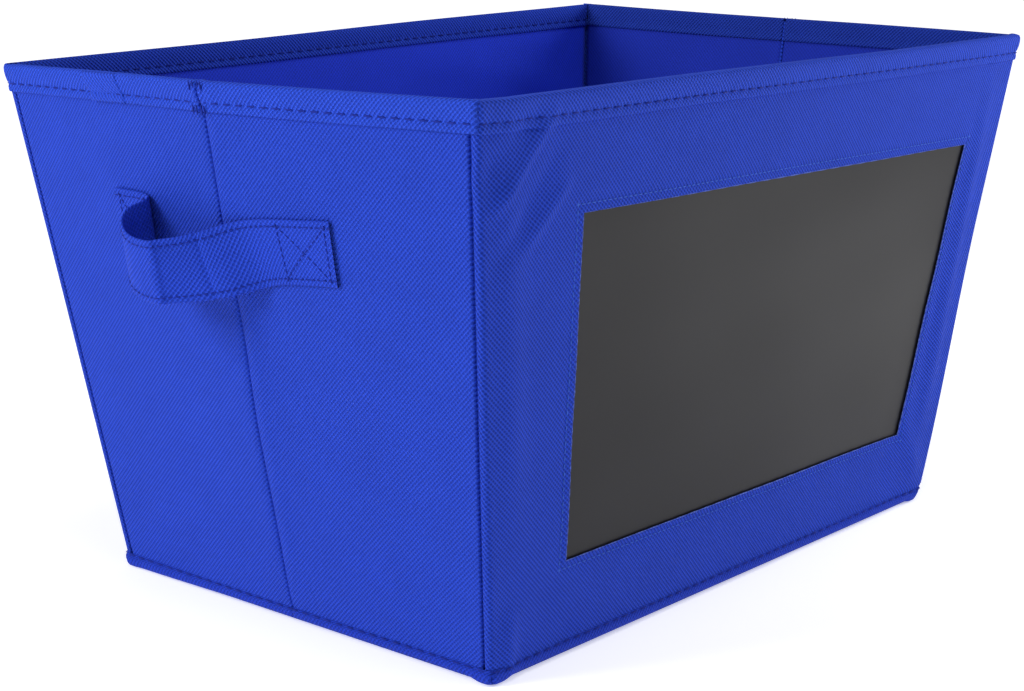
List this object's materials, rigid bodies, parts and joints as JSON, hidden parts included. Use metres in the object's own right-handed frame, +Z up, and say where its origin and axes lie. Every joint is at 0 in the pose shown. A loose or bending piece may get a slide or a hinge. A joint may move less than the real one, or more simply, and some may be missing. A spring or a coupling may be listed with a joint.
{
  "type": "fabric storage bin",
  "caption": "Open-topped tapered fabric storage bin with stiffened walls, a chalkboard front window, strap end handles, a loose base insert, and end walls that fold in to collapse flat.",
  "frame": {"origin": "centre of the bounding box at floor level", "axes": "+X along the longest side, +Y from the chalkboard front towards the back, +Z up; the chalkboard faces -Y"},
  "size_m": [0.4678, 0.292, 0.2499],
  "materials": {
    "blue_fabric": "royal blue non-woven polypropylene, embossed with fine diagonal rows, matt",
    "blue_lining": "royal blue non-woven lining, matt",
    "blue_tape": "folded non-woven binding tape with a running stitch",
    "blue_seam": "rolled and bound base seam",
    "blue_base": "non-woven base panel",
    "blue_strap": "folded fabric strap stitched along both edges",
    "insert_fabric": "non-woven cover",
    "grey_board": "grey pressed card stiffener",
    "chalkboard": "black wipe-clean vinyl with a soft sheen"
  },
  "bodies": {
    "back_wall": {"back_outer_panel": "blue_fabric", "back_board": "grey_board", "back_lining": "blue_lining", "back_rim_binding": "blue_tape", "back_base_binding": "blue_seam", "base_panel": "blue_base"},
    "front_wall": {"front_outer_panel": "blue_fabric", "front_board": "grey_board", "front_lining": "blue_lining", "front_rim_binding": "blue_tape", "front_base_binding": "blue_seam", "chalkboard_sheet": "chalkboard"},
    "left_rear_half": {"left_rear_outer_panel": "blue_fabric", "left_rear_board": "grey_board", "left_rear_lining": "blue_lining", "left_rear_rim_binding": "blue_tape", "left_rear_base_binding": "blue_seam"},
    "left_front_half": {"left_front_outer_panel": "blue_fabric", "left_front_board": "grey_board", "left_front_lining": "blue_lining", "left_front_rim_binding": "blue_tape", "left_front_base_binding": "blue_seam", "left_handle": "blue_strap"},
    "right_rear_half": {"right_rear_outer_panel": "blue_fabric", "right_rear_board": "grey_board", "right_rear_lining": "blue_lining", "right_rear_rim_binding": "blue_tape", "right_rear_base_binding": "blue_seam"},
    "right_front_half": {"right_front_outer_panel": "blue_fabric", "right_front_board": "grey_board", "right_front_lining": "blue_lining", "right_front_rim_binding": "blue_tape", "right_front_base_binding": "blue_seam", "right_handle": "blue_strap"},
    "base_insert": {"insert_cover": "insert_fabric", "insert_board": "grey_board"}
  },
  "joints": [
    {"name": "left_rear_corner_fold", "type": "hinge", "parent": "back_wall", "child": "left_rear_half", "pos_m": [-0.17095, 0.11441, 0], "axis": [-0.1571, 0.1063, 0.9818], "range_deg": [0, 88], "deforming": ["back_base_binding", "front_base_binding", "left_rear_base_binding", "left_front_base_binding", "right_rear_base_binding", "right_front_base_binding", "left_handle", "right_handle"]},
    {"name": "left_crease_fold", "type": "hinge", "parent": "left_rear_half", "child": "left_front_half", "pos_m": [-0.17581, 0, 0], "axis": [0.158, 0, -0.9874], "range_deg": [0, 175]},
    {"name": "front_corner_fold", "type": "hinge", "parent": "left_front_half", "child": "front_wall", "pos_m": [-0.17095, -0.11441, 0], "axis": [-0.1571, -0.1063, 0.9818], "range_deg": [0, 88]},
    {"name": "right_rear_corner_fold", "type": "hinge", "parent": "back_wall", "child": "right_rear_half", "pos_m": [0.17095, 0.11441, 0], "axis": [-0.1571, -0.1063, -0.9818], "range_deg": [0, 88]},
    {"name": "right_crease_fold", "type": "hinge", "parent": "right_rear_half", "child": "right_front_half", "pos_m": [0.17581, 0, 0], "axis": [0.158, 0, 0.9874], "range_deg": [0, 175]},
    {"name": "insert_lift", "type": "slide", "parent": "back_wall", "child": "base_insert", "axis": [0, 0, 1], "range_m": [0, 0.3]}
  ],
  "couplings": [
    {"joint": "left_crease_fold", "follows": "left_rear_corner_fold", "ratio": 1.98},
    {"joint": "front_corner_fold", "follows": "left_rear_corner_fold", "ratio": 1},
    {"joint": "right_rear_corner_fold", "follows": "left_rear_corner_fold", "ratio": 1},
    {"joint": "right_crease_fold", "follows": "left_rear_corner_fold", "ratio": 1.98}
  ]
}
